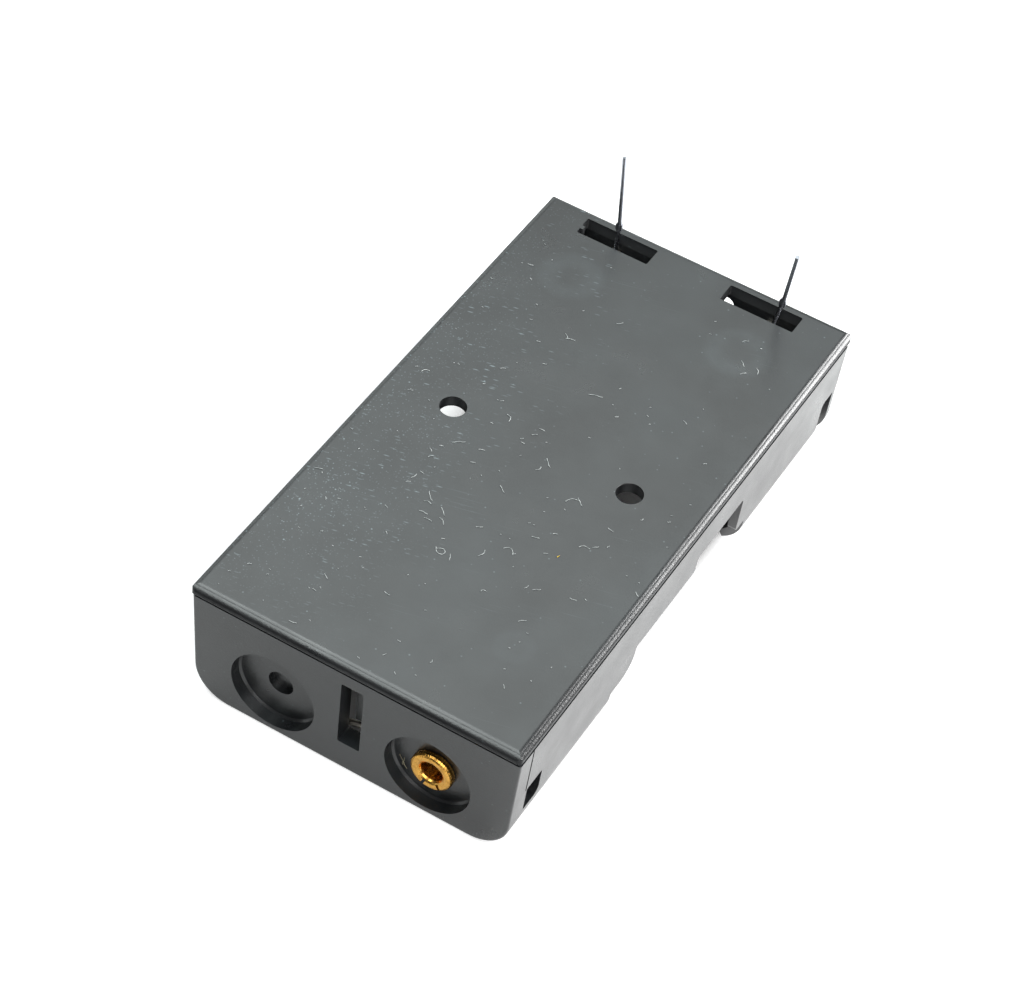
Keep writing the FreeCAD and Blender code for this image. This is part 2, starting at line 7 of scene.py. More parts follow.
import bpy
from bpy.props import FloatProperty, IntProperty, PointerProperty, StringProperty
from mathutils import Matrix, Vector


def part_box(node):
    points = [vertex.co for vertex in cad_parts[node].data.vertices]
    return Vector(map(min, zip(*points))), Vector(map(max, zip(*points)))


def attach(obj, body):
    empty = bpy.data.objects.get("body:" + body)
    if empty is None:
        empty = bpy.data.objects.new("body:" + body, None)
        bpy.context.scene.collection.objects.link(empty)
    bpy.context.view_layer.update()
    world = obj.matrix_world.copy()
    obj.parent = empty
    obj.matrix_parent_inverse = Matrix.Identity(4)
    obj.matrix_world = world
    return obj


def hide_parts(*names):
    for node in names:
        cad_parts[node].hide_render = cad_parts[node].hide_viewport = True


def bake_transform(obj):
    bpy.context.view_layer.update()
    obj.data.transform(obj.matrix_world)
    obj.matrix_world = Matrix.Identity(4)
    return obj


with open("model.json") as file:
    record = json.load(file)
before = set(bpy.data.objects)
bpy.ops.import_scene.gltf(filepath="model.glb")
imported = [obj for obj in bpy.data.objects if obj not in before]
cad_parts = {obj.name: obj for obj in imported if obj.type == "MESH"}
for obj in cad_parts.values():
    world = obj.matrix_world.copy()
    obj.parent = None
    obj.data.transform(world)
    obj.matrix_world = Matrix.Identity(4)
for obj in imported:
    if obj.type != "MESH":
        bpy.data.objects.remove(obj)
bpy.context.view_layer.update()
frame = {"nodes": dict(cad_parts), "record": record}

bl_info = {
    "name": "Cell Holder Dresser",
    "version": (1, 0, 0),
    "blender": (4, 5, 0),
    "location": "3D View > Sidebar > Cell Holder",
    "description": "Makes the springs, the lint, the finishes and the studio of a cell holder",
    "category": "Object",
}

MM = 0.001
WHITE = (1.0, 1.0, 1.0, 1.0)

# The bays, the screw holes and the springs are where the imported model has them, in metres.
MOUNTS = {mount["name"]: mount for mount in frame["record"]["mounts"]}
BAY_X, _, AXIS_Z = MOUNTS["right_cell_bay"]["pos_m"]
LINK_LOW, LINK_HIGH = (Vector(corner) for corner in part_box("link_spring"))
MINUS_LOW, MINUS_HIGH = (Vector(corner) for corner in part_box("minus_spring"))
EYELET_LOW, EYELET_HIGH = (Vector(corner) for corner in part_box("link_eyelet"))
EYELET_Z = (EYELET_LOW.z + EYELET_HIGH.z) / 2
PLATE_TOP = Vector(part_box("holder_body")[1]).z

# The eyelet's inside head clamps the link wire's loop with a little play.
HEAD_THICK = 0.3 * MM
SPRING_PLAY = 0.04 * MM

# A coil's turns are counted from its base. The minus spring steps in to its neck between these turns.
STEPS_PER_TURN = 14
NECK_FROM = 0.75
NECK_TO = 1.05

# Where the minus spring's wire ends on its base turn
MINUS_END_ANGLE = math.radians(40.0)

# The link wire's tail steps back from the near wall between these distances before the eyelet.
# Its loop goes round the eyelet in strides.
TAIL_STEP_FROM = 5.2 * MM
TAIL_STEP_TO = 3.35 * MM
TAIL_POINTS = 20
LOOP_POINTS = 18
LOOP_STRIDE = math.radians(17.0)

# The moulding's relief, in millimetres: a nose down the rim, and the tool's texture
PLATE_THICK = 1.5
NOSE_DEPTH = 0.7
TOP_GRAIN = 0.009
RIM_GRAIN = 0.022

# The setting tool's lines round the eyelet, and the radii in millimetres between which they come in
TICKS = 44.0
TICKED_FROM = 2.3
TICKED_TO = 2.45

# Pale rings that the moulding tool left on the base plate: x, y and radius in millimetres, and strength
TOOL_MARKS = (
    (-11.5, 27.2, 4.4, 1.0),
    (11.0, 27.5, 4.4, 1.0),
    (12.4, -26.3, 2.6, 0.5),
)

# Where stray fibres may fall, in millimetres: on the plate, off the screw holes and short of the slots
STREWN_X = (-19.3, 19.0)
STREWN_Y = (-37.3, 36.0)
SCREW_X = MOUNTS["mounting_holes"]["dims"]["spacing_x_mm"] / 2
SCREW_Y = MOUNTS["mounting_holes"]["pos_m"][1] / MM
SCREW_CLEAR = 2.8
SLOTS_CLEAR_Y = 33.0

# A stray's mean heading and bend with their spreads, in degrees, and its least and greatest length
STRAY_HEADING = (12, 26)
STRAY_BEND = (0, 40)
STRAY_LENGTH = (0.12, 0.9)

# A placed fibre also curls by so many degrees, in a wave of so many radians along it.
CURL = 18.0
CURL_WAVE = 7.0
FIBRE_SIDES = 8

# Lint on the base plate: x, y, heading in degrees, length, bend in degrees.
# Lengths and places are in millimetres.
LINT = (
    (-6.9, -12.4, -75, 1.5, 60),
    (-6.6, -14.0, 30, 1.0, -50),
    (-4.5, -13.7, -55, 1.3, 25),
    (-3.9, -15.1, -20, 1.2, -30),
    (-0.9, -7.0, -60, 1.2, 45),
    (6.3, -4.9, 65, 1.8, -50),
    (7.2, -3.6, -60, 1.3, 40),
    (-1.8, -19.2, 60, 3.4, -330),
    (-0.1, -19.0, -75, 0.9, 20),
    (4.2, -14.9, 50, 1.9, -120),
    (2.7, -16.3, -80, 1.3, -40),
    (10.9, -9.9, 50, 1.4, -60),
    (12.2, -9.1, 20, 0.7, 40),
    (5.4, -21.7, 80, 0.8, -90),
    (-3.1, -27.7, -40, 0.8, 60),
    (-6.3, -15.5, -5, 1.1, 15),
    (-5.3, -16.1, -2, 1.0, 10),
    (-8.7, -4.5, 32, 1.5, 10),
    (10.9, -23.0, 40, 0.9, 5),
    (9.9, -18.2, 20, 0.9, 30),
    (-7.1, 18.3, -55, 1.0, 30),
    (-6.7, 17.6, 10, 1.2, 15),
    (-5.9, 2.9, -10, 1.3, -80),
    (-17.5, 3.0, 80, 1.1, -70),
    (0.1, 11.2, 10, 1.7, 15),
    (1.3, -0.4, -70, 1.4, 50),
    (1.4, -1.9, -80, 0.9, -60),
    (-10.4, 8.8, 35, 0.7, 0),
    (10.6, 29.4, 60, 0.9, -30),
    (12.0, 26.6, -55, 1.0, 20),
    (14.0, 26.5, -35, 1.1, -40),
    (12.9, 24.5, 40, 0.8, 20),
    (-9.8, -12.7, 35, 0.6, 10),
    (16.2, 9.2, 38, 0.5, 5),
    (19.3, -12.0, -80, 0.7, 90),
    (17.0, 0.1, 30, 0.2, 0),
    (-8.0, -25.1, 30, 0.25, 0),
    (1.8, -27.5, 30, 0.25, 0),
    (13.0, -29.6, 30, 0.25, 0),
    (8.2, -13.0, 20, 0.5, 30),
    (13.5, -8.2, 70, 0.4, 0),
    (7.6, -9.9, 45, 0.6, -40),
)
GOLD_FLAKE = (9.7, -12.6, 70, 0.35, 0)

# Two strands caught in the right recess: x and z in millimetres, on the recess's floor
RECESS_FLOOR = -36.8 * MM
RECESS_STRANDS = (
    ((5.5, 5.1), (5.8, 4.6), (6.1, 4.2), (6.2, 3.7), (6.6, 3.3)),
    ((6.1, 4.9), (6.2, 4.4), (5.9, 4.1), (6.0, 3.6)),
)

# Half the length and width of floor that the holder covers, in millimetres. There the floor is painted in
# shadow: it doesn't glow.
PAINTED_SHADOW_HALF_X = 17.5
PAINTED_SHADOW_HALF_Y = 37.0

# Name, place, aim and size in metres, tint, and the setting that holds the power
COOL_TINT = (0.93, 1.0, 0.99)
NO_TINT = (1.0, 1.0, 1.0)
SOFTBOXES = (
    ("back_softbox", (-0.17, 0.27, 0.55), (0, 0, 0.02), (0.52, 0.46), COOL_TINT, "back"),
    ("front_softbox", (0.49, -0.38, 0.56), (0, 0, 0.01), (0.7, 0.6), NO_TINT, "front"),
    ("top_softbox", (-0.17, -0.09, 0.52), (0, 0, 0.02), (0.4, 0.3), COOL_TINT, "top"),
    ("low_softbox", (-0.36, 0.45, 0.16), (0, 0, 0.02), (0.55, 0.27), COOL_TINT, "low"),
    ("raking_softbox", (0.20, 0.30, 0.14), (0.04, 0.05, 0), (0.18, 0.18), NO_TINT, "rake"),
)

# The camera that was fitted to the photograph, with its turn in degrees and its lens in millimetres
CAMERA_PLACE = (101.48 * MM, -221.82 * MM, 270.89 * MM)
CAMERA_TURN = (42.837, -5.199, 30.726)
CAMERA_LENS = 109.64
CAMERA_SENSOR = 36.0


class SpringSettings(bpy.types.PropertyGroup):
    link_wire: FloatProperty(
        name="Link wire", description="Diameter of the link spring's wire", default=0.76 * MM, unit="LENGTH")
    minus_wire: FloatProperty(
        name="Minus wire", description="Diameter of the minus spring's wire",
        default=0.70 * MM, unit="LENGTH")
    gap: FloatProperty(
        name="Closed gap", description="Room between the closed end turns", default=0.06 * MM, unit="LENGTH")
    neck_step: FloatProperty(
        name="Neck step", description="Room between the minus spring's base turn and its neck",
        default=0.15 * MM, unit="LENGTH")
    link_tip: FloatProperty(
        name="Link tip", description="Radius of the link spring's tip", default=2.3 * MM, unit="LENGTH")
    minus_tip: FloatProperty(
        name="Minus tip", description="Radius of the minus spring's tip", default=2.0 * MM, unit="LENGTH")
    turns: IntProperty(
        name="Turns", description="Turns of each coil, end turns included", default=6)


class LintSettings(bpy.types.PropertyGroup):
    thickness: FloatProperty(
        name="Thickness", description="Diameter of a fibre", default=0.07 * MM, unit="LENGTH")
    strays: IntProperty(
        name="Strays", description="Short fibres strewn besides the placed ones", default=130)
    seed: IntProperty(
        name="Seed", description="Changes where the strays fall", default=7)


class FinishSettings(bpy.types.PropertyGroup):
    moulding: StringProperty(
        name="Moulding", description="sRGB colour of the black moulding", default="#18191b")
    dust: StringProperty(
        name="Dust", description="sRGB colour of the dust on the moulding", default="#a9bcc2")
    brass: StringProperty(
        name="Brass", description="sRGB colour of the eyelet", default="#f0b65a")
    # The eyelet's darker colour, for random spots and painted shade in the setting tool's ticks.
    brass_spots_and_tick_shade: StringProperty(
        name="Brass folds", description="sRGB colour of the eyelet's browned folds", default="#8a5212")
    spring_wire: StringProperty(
        name="Spring wire", description="sRGB colour of the spring wire", default="#d6d1c6")
    contact_sheet: StringProperty(
        name="Contact sheet", description="sRGB colour of the stamped contacts", default="#b5b2aa")
    tinned_wire: StringProperty(
        name="Tinned wire", description="sRGB colour of the board pins", default="#b9bcc4")
    lint: StringProperty(
        name="Lint", description="sRGB colour of the lint", default="#dfe3e2")
    lint_shade: StringProperty(
        name="Lint shade", description="sRGB colour of the lint's darker stretches", default="#aab0b0")
    gold: StringProperty(
        name="Gold", description="sRGB colour of the gold flake", default="#e9c54a")
    gold_shade: StringProperty(
        name="Gold shade", description="sRGB colour of the gold flake's darker side", default="#a8842c")
    strand: StringProperty(
        name="Strand", description="sRGB colour of the strands in the recess", default="#d0c8a8")
    strand_shade: StringProperty(
        name="Strand shade", description="sRGB colour of the strands' darker stretches", default="#8e8874")
    paper: StringProperty(
        name="Paper", description="sRGB colour of the studio floor", default="#e1e1e1")
    # The far paper's painted reflection: a darker colour that only the gloss sees.
    far_paper_painted_reflection: StringProperty(
        name="Far paper", description="sRGB colour that gloss mirrors of the far floor", default="#454545")


class StudioSettings(bpy.types.PropertyGroup):
    room: FloatProperty(
        name="Room", description="Strength of the dim light from all round", default=0.05)
    back: FloatProperty(
        name="Back softbox", description="Power of the softbox behind and above", default=1.3, unit="POWER")
    front: FloatProperty(
        name="Front softbox", description="Power of the softbox in front, to the right",
        default=3.6, unit="POWER")
    low: FloatProperty(
        name="Low softbox", description="Power of the low softbox behind the left side",
        default=0.55, unit="POWER")
    top: FloatProperty(
        name="Top softbox", description="Power of the softbox overhead", default=1.25, unit="POWER")
    rake: FloatProperty(
        name="Raking light", description="Power of the low light behind the right side",
        default=1.5, unit="POWER")


def linear(hex_code):
    """sRGB hex to linear colour."""
    channels = [int(hex_code[i:i + 2], 16) / 255 for i in (1, 3, 5)]
    return [c / 12.92 if c <= 0.04045 else ((c + 0.055) / 1.055) ** 2.4 for c in channels] + [1.0]


def add_node(tree, kind, inputs=None, **settings):
    """Adds a node. An input takes a plain value, an output, or a node, whose first output it reads."""
    node = tree.nodes.new("ShaderNode" + kind)
    for name, value in settings.items():
        setattr(node, name, value)
    for name, value in (inputs or {}).items():
        if isinstance(value, bpy.types.Node):
            value = next(output for output in value.outputs if output.enabled)
        if isinstance(value, bpy.types.NodeSocket):
            tree.links.new(value, node.inputs[name])
        else:
            node.inputs[name].default_value = value
    return node


def new_material(name):
    material = bpy.data.materials.new(name)
    material.use_nodes = True
    material.node_tree.nodes.clear()
    return material, material.node_tree


def millimetres(tree):
    """Object coordinates in millimetres, so that one over a pattern's size is its scale."""
    place = add_node(tree, "TexCoord").outputs["Object"]
    return add_node(tree, "VectorMath", {0: place, "Scale": 1 / MM}, operation="SCALE")


def product(tree, *values):
    """Several values multiplied."""
    result = values[0]
    for value in values[1:]:
        result = add_node(tree, "Math", {0: result, 1: value}, operation="MULTIPLY")
    return result


def stretched(tree, place, turn, along, across):
    """Coordinates turned about the vertical and measured in units of along by across."""
    turned = add_node(tree, "Mapping", {"Vector": place, "Rotation": (0.0, 0.0, math.radians(-turn))})
    return add_node(tree, "Mapping", {"Vector": turned, "Scale": (1 / along, 1 / across, 1 / across)})


def specks(tree, place, spacing, size, share):
    """Small dust grains, a few on each spacing. A stretched place makes them short strokes."""
    cells = add_node(tree, "TexVoronoi", {"Vector": place, "Scale": 1 / spacing}).outputs
    near = add_node(tree, "MapRange", {"Value": cells["Distance"], "From Min": size / spacing,
                                       "From Max": size / spacing * 0.4})
    draw, shade, _ = add_node(tree, "SeparateColor", {"Color": cells["Color"]}).outputs
    chosen = add_node(tree, "Math", {0: draw, 1: share}, operation="LESS_THAN")
    pale = add_node(tree, "MapRange", {"Value": shade, "To Min": 0.3})
    return product(tree, near, chosen, pale)


def streaks(tree, place, turn, length, width, share):
    """Fine straight scratches in one direction."""
    drawn_out = stretched(tree, place, turn, length, width)
    fine = add_node(tree, "TexNoise", {"Vector": drawn_out, "Scale": 1.0, "Detail": 1.0})
    return add_node(tree, "MapRange", {"Value": fine, "From Min": 1 - share, "From Max": 1.06 - share})


def tool_marks(tree, place):
    """Faint pale rings round darker middles."""
    x, y, _ = add_node(tree, "SeparateXYZ", {"Vector": place}).outputs
    flat = add_node(tree, "CombineXYZ", {"X": x, "Y": y})
    shown = 0.0
    for mark_x, mark_y, radius, strength in TOOL_MARKS:
        away = add_node(tree, "VectorMath", {0: flat, 1: (mark_x, mark_y, 0.0)}, operation="DISTANCE")
        within = add_node(tree, "MapRange", {"Value": away, "From Min": radius, "From Max": 0.77 * radius})
        round_middle = add_node(tree, "MapRange", {"Value": away, "From Min": 0.27 * radius,
                                                   "From Max": 0.55 * radius, "To Min": 0.15,
                                                   "To Max": strength})
        ring = product(tree, within, round_middle)
        shown = add_node(tree, "Math", {0: ring, 1: shown}, operation="MAXIMUM")
    patches = add_node(tree, "TexNoise", {"Vector": place, "Scale": 1 / 1.5})
    uneven = add_node(tree, "MapRange", {"Value": patches, "From Min": 0.3, "From Max": 0.7, "To Min": 0.5})
    return product(tree, shown, uneven)


def dust_cover(tree, place):
    """How much dust lies at a place: a film, grains and short strokes, thickest at the near left."""
    x, y, _ = add_node(tree, "SeparateXYZ", {"Vector": place}).outputs
    normal = add_node(tree, "NewGeometry").outputs["Normal"]
    upward = add_node(tree, "SeparateXYZ", {"Vector": normal}).outputs["Z"]
    lying = add_node(tree, "MapRange", {"Value": upward, "From Min": 0.35, "From Max": 0.9, "To Min": 0.5})

    corner = add_node(tree, "Math", {0: product(tree, x, -0.07), 1: product(tree, y, -0.012)},
                      operation="ADD")
    thick = add_node(tree, "MapRange", {"Value": corner, "From Min": 0.4, "From Max": 1.6})
    clouds = add_node(tree, "TexNoise", {"Vector": place, "Scale": 1 / 6.0, "Detail": 3.0})
    cloud = add_node(tree, "MapRange", {"Value": clouds, "From Min": 0.35, "From Max": 0.65, "To Min": 0.4})
    near_edge = add_node(tree, "MapRange", {"Value": y, "From Min": -37.0, "From Max": -20.0, "To Min": 0.2})
    cloud = product(tree, cloud, near_edge)
    left = product(tree, thick, cloud)

    # Real dust is finer. Its grains and strokes are about 0.1 mm wide here, so that they show.
    grain_share = add_node(tree, "MapRange", {"Value": left, "From Max": 0.8, "To Max": 0.42})
    grains = product(tree, specks(tree, place, spacing=0.34, size=0.11, share=0.6), grain_share)
    coarse_share = add_node(tree, "MapRange", {"Value": left, "From Max": 0.5, "To Min": 0.24,
                                               "To Max": 0.55})
    coarse = product(tree, specks(tree, place, spacing=1.2, size=0.14, share=0.6), coarse_share)

    drawn_out = stretched(tree, place, turn=14, along=4.0, across=1.0)
    laid = specks(tree, drawn_out, spacing=0.4, size=0.11, share=0.6)
    leftward = add_node(tree, "MapRange", {"Value": x, "From Min": 1.0, "From Max": -13.0})
    patches = add_node(tree, "TexNoise", {"Vector": place, "Scale": 1 / 5.0})
    patchy = add_node(tree, "MapRange", {"Value": patches, "From Min": 0.42, "From Max": 0.58})
    strokes = product(tree, laid, leftward, cloud, patchy, 0.6)

    haze = add_node(tree, "TexNoise", {"Vector": place, "Scale": 1 / 11.0, "Detail": 4.0})
    hazy = add_node(tree, "MapRange", {"Value": haze, "From Min": 0.3, "From Max": 0.75})
    film = product(tree, hazy, 0.035)
    rings = product(tree, tool_marks(tree, place), 0.035)
    scratches = streaks(tree, place, turn=15, length=7.0, width=0.16, share=0.32)
    handled = add_node(tree, "TexNoise", {"Vector": place, "Scale": 1 / 9.0})
    wiped = add_node(tree, "MapRange", {"Value": handled, "From Min": 0.5, "From Max": 0.7})
    rubbed = product(tree, scratches, wiped, 0.05)

    total = film
    for layer in (grains, coarse, strokes, rings, rubbed):
        total = add_node(tree, "Math", {0: total, 1: layer}, operation="ADD", use_clamp=True)
    return product(tree, total, lying)


def moulded_abs():
    """Black ABS, injection moulded: a fine even gloss that greys under soft light, with dust."""
    finish = bpy.context.scene.holder_finish
    material, tree = new_material("black_abs_moulding")
    place = millimetres(tree)
    z = add_node(tree, "SeparateXYZ", {"Vector": place}).outputs["Z"]
    colour = add_node(tree, "Mix", {"Factor": dust_cover(tree, place), "A": linear(finish.moulding),
                                    "B": linear(finish.dust)}, data_type="RGBA")
    gloss = add_node(tree, "TexNoise", {"Vector": place, "Scale": 1 / 5.0, "Detail": 4.0})
    rough = add_node(tree, "MapRange", {"Value": gloss, "From Min": 0.3, "From Max": 0.7,
                                        "To Min": 0.27, "To Max": 0.35})

    # The relief is in millimetres: the tool's texture, coarser on the rim, and the rim's nose,
    # whose steep lower half mirrors the dark of the room.
    fine = add_node(tree, "TexNoise", {"Vector": place, "Scale": 1 / 0.22})
    wavy = add_node(tree, "TexNoise", {"Vector": place, "Scale": 1 / 1.6})
    grain = add_node(tree, "Math", {0: fine, 1: product(tree, wavy, 0.5)}, operation="ADD")
    depth = add_node(tree, "MapRange", {"Value": z, "From Min": PLATE_TOP / MM - 0.02,
                                        "From Max": PLATE_TOP / MM - 0.3, "To Min": TOP_GRAIN,
                                        "To Max": RIM_GRAIN})
    sunk = add_node(tree, "MapRange", {"Value": z, "From Min": PLATE_TOP / MM - 0.15,
                                       "From Max": PLATE_TOP / MM - PLATE_THICK - 0.1,
                                       "To Max": NOSE_DEPTH})
    relief = add_node(tree, "Math", {0: product(tree, grain, depth), 1: sunk}, operation="ADD")
    bump = add_node(tree, "Bump", {"Height": relief, "Strength": 1.0, "Distance": MM})

    # An IOR above the plastic's own 1.54 gives the grey shine of the photograph.
    shader = add_node(tree, "BsdfPrincipled", {"Base Color": colour, "Roughness": rough, "IOR": 1.85,
                                               "Normal": bump})
    add_node(tree, "OutputMaterial", {"Surface": shader})
    return material


def worn_metal(name, hex_code, roughness, grain, stretch):
    """Plated or drawn metal with fine lines along its length and a few duller patches."""
    material, tree = new_material(name)
    place = millimetres(tree)
    lines = add_node(tree, "Mapping", {"Vector": place, "Scale": stretch})
    fine = add_node(tree, "TexNoise", {"Vector": lines, "Scale": 1 / grain, "Detail": 3.0})
    patches = add_node(tree, "TexNoise", {"Vector": place, "Scale": 1 / 1.6, "Detail": 3.0})
    dull = add_node(tree, "MapRange", {"Value": patches, "From Min": 0.45, "From Max": 0.7})
    bright = linear(hex_code)
    tarnish = [c * 0.62 for c in bright[:3]] + [1.0]
    colour = add_node(tree, "Mix", {"Factor": product(tree, dull, 0.45), "A": bright, "B": tarnish},
                      data_type="RGBA")
    wear = add_node(tree, "Math", {0: product(tree, fine, 0.5), 1: product(tree, dull, 0.5)}, operation="ADD")
    rough = add_node(tree, "MapRange", {"Value": wear, "From Min": 0.2, "From Max": 0.9,
                                        "To Min": roughness, "To Max": roughness + 0.22})
    bump = add_node(tree, "Bump", {"Height": fine, "Strength": 0.2, "Distance": 0.01 * MM})
    shader = add_node(tree, "BsdfPrincipled", {"Base Color": colour, "Metallic": 1.0, "Roughness": rough,
                                               "Normal": bump})
    add_node(tree, "OutputMaterial", {"Surface": shader})
    return material


def rolled_brass():
    """Pressed brass, its rolled edge ticked by the setting tool, darker in random spots, with painted shade
    along the ticks.
    """
    finish = bpy.context.scene.holder_finish
    material, tree = new_material("rolled_brass")
    place = millimetres(tree)
    x, _, z = add_node(tree, "SeparateXYZ", {"Vector": place}).outputs
    side = add_node(tree, "Math", {0: x, 1: BAY_X / MM}, operation="SUBTRACT")
    up = add_node(tree, "Math", {0: z, 1: EYELET_Z / MM}, operation="SUBTRACT")
    turn = add_node(tree, "Math", {0: up, 1: side}, operation="ARCTAN2")
    wave = add_node(tree, "Math", {0: product(tree, turn, TICKS)}, operation="SINE")
    ticked = add_node(tree, "MapRange", {"Value": wave, "From Min": 0.2, "From Max": 0.9})
    flat = add_node(tree, "CombineXYZ", {"X": side, "Y": up})
    away = add_node(tree, "VectorMath", {0: flat}, operation="LENGTH")
    at_edge = add_node(tree, "MapRange", {"Value": away, "From Min": TICKED_FROM, "From Max": TICKED_TO})
    ticks = product(tree, ticked, at_edge)
    patches = add_node(tree, "TexNoise", {"Vector": place, "Scale": 1 / 0.5, "Detail": 3.0})
    spots = add_node(tree, "MapRange", {"Value": patches, "From Min": 0.5, "From Max": 0.75})
    # Darker in random spots, and painted shade in the tick grooves of the rolled edge.
    tick_shade_and_spots = add_node(tree, "Math", {0: product(tree, spots, 0.3), 1: product(tree, ticks, 0.3)},
                     operation="ADD")
    colour = add_node(tree, "Mix", {"Factor": tick_shade_and_spots, "A": linear(finish.brass),
                                    "B": linear(finish.brass_spots_and_tick_shade)}, data_type="RGBA")
    rough = add_node(tree, "MapRange", {"Value": spots, "To Min": 0.24, "To Max": 0.4})
    fine = add_node(tree, "TexNoise", {"Vector": place, "Scale": 1 / 0.3})
    height = add_node(tree, "Math", {0: fine, 1: ticks}, operation="SUBTRACT")
    bump = add_node(tree, "Bump", {"Height": height, "Strength": 0.4, "Distance": 0.03 * MM})
    shader = add_node(tree, "BsdfPrincipled", {"Base Color": colour, "Metallic": 1.0, "Roughness": rough,
                                               "Normal": bump})
    add_node(tree, "OutputMaterial", {"Surface": shader})
    return material


def lint_material(name, hex_code, darker):
    """Matt fibre or flake, uneven along its length."""
    material, tree = new_material(name)
    patches = add_node(tree, "TexNoise", {"Vector": millimetres(tree), "Scale": 1 / 0.5})
    uneven = add_node(tree, "MapRange", {"Value": patches, "From Min": 0.35, "From Max": 0.65})
    colour = add_node(tree, "Mix", {"Factor": uneven, "A": linear(hex_code), "B": linear(darker)},
                      data_type="RGBA")
    shader = add_node(tree, "BsdfPrincipled", {"Base Color": colour, "Roughness": 0.8})
    add_node(tree, "OutputMaterial", {"Surface": shader})
    return material


def seen_directly(tree):
    """A light path's outputs, and whether the camera sees the place, straight or through glass."""
    path = add_node(tree, "LightPath").outputs
    seen = add_node(tree, "Math", {0: path["Is Camera Ray"], 1: path["Is Transmission Ray"]},
                    operation="MAXIMUM")
    return path, seen


def white_paper():
    """White paper that glows for the eye. In the gloss it glows with a painted reflection, strongest beside
    the holder, and it doesn't glow under the holder, a painted shadow.
    """
    finish = bpy.context.scene.holder_finish
    material, tree = new_material("white_studio_floor")
    place = millimetres(tree)
    x, y, _ = add_node(tree, "SeparateXYZ", {"Vector": place}).outputs
    away = add_node(tree, "VectorMath", {0: place}, operation="LENGTH")
    across = add_node(tree, "Math", {0: x}, operation="ABSOLUTE")
    along = add_node(tree, "Math", {0: y}, operation="ABSOLUTE")
    # Painted shadow: the floor under the holder doesn't glow, for the eye or in the gloss.
    out_x = add_node(tree, "Math", {0: across, 1: PAINTED_SHADOW_HALF_X}, operation="DIVIDE")
    out_y = add_node(tree, "Math", {0: along, 1: PAINTED_SHADOW_HALF_Y}, operation="DIVIDE")
    outward = add_node(tree, "Math", {0: out_x, 1: out_y}, operation="MAXIMUM")
    outside_painted_shadow = add_node(tree, "MapRange", {"Value": outward, "From Min": 0.94, "From Max": 1.03})

    # Painted reflection: in the gloss, the far paper is painted dark like the room, so that the moulding
    # stays black.
    path, seen = seen_directly(tree)
    # Painted reflection: in the gloss, the paper near the holder glows a little, and most beside its right
    # side past the near wall, for the side wall's sheen.
    mirror = path["Is Glossy Ray"]
    glow = add_node(tree, "MapRange", {"Value": away, "From Min": 45.0, "From Max": 130.0, "To Min": 0.55})
    by_eye = product(tree, seen, glow)
    far = add_node(tree, "MapRange", {"Value": away, "From Min": 110.0, "From Max": 260.0})
    near = add_node(tree, "MapRange", {"Value": far, "To Min": 1.0, "To Max": 0.0})
    rightward = add_node(tree, "MapRange", {"Value": x, "From Min": 5.0, "From Max": 19.0})
    past_near_wall = add_node(tree, "MapRange", {"Value": y, "From Min": -40.0, "From Max": -32.0})
    beside = product(tree, rightward, past_near_wall)
    painted_reflection_beside = add_node(tree, "MapRange", {"Value": beside, "To Min": 0.12})
    painted_reflection_glow = product(tree, mirror, painted_reflection_beside, near)
    brightest = add_node(tree, "Math", {0: by_eye, 1: painted_reflection_glow}, operation="MAXIMUM")

    # Painted reflection: the gloss sees the far paper in a darker colour.
    shade = add_node(tree, "Mix", {"Factor": product(tree, mirror, far), "A": linear(finish.paper),
                                   "B": linear(finish.far_paper_painted_reflection)}, data_type="RGBA")
    paper = add_node(tree, "BsdfDiffuse", {"Color": shade})
    light = add_node(tree, "Emission", {"Color": WHITE, "Strength": product(tree, brightest, outside_painted_shadow)})
    both = add_node(tree, "AddShader", {0: paper, 1: light})
    add_node(tree, "OutputMaterial", {"Surface": both})
    return material


def set_material(piece, material):
    piece.data.materials.clear()
    piece.data.materials.append(material)


def dress_node(name, material):
    """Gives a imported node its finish. Its mesh isn't touched."""
    for slot in frame["nodes"][name].material_slots:
        slot.material = material


def clear_selection():
    if bpy.context.object and bpy.context.object.mode != "OBJECT":
        bpy.ops.object.mode_set(mode="OBJECT")
    bpy.ops.object.select_all(action="DESELECT")


def wires_through(name, lines, diameter, sides=16):
    """Round wires along smooth lines through control points, made one mesh."""
    clear_selection()
    bpy.ops.curve.primitive_nurbs_path_add()
    wire = bpy.context.object
    wire.name = name
    curve = wire.data
    curve.splines.clear()
    for points in lines:
        spline = curve.splines.new("NURBS")
        spline.points.add(len(points) - 1)
        for knot, point in zip(spline.points, points):
            knot.co = (*point, 1.0)
        spline.order_u = 3
        spline.use_endpoint_u = True
        spline.resolution_u = 3
    curve.bevel_depth = diameter / 2
    curve.bevel_resolution = sides // 4 - 1
    curve.use_fill_caps = True
    bpy.ops.object.convert(target="MESH")
    wire = bpy.context.object
    wire.data.name = name
    for face in wire.data.polygons:
        face.use_smooth = True
    return wire


def smooth_step(value):
    """Eases from 0 to 1, and stays there past both ends."""
    share = min(max(value, 0.0), 1.0)
    return share * share * (3 - 2 * share)


def coil_radius(turn, turns, radii):
    """Radius at a turn counted from the base. Radii are base, neck and tip."""
    base, neck, tip = radii
    if turn < NECK_TO:
        return base + (neck - base) * smooth_step((turn - NECK_FROM) / (NECK_TO - NECK_FROM))
    share = min((turn - NECK_TO) / (turns - 1 - NECK_TO), 1.0)
    return neck + (tip - neck) * share


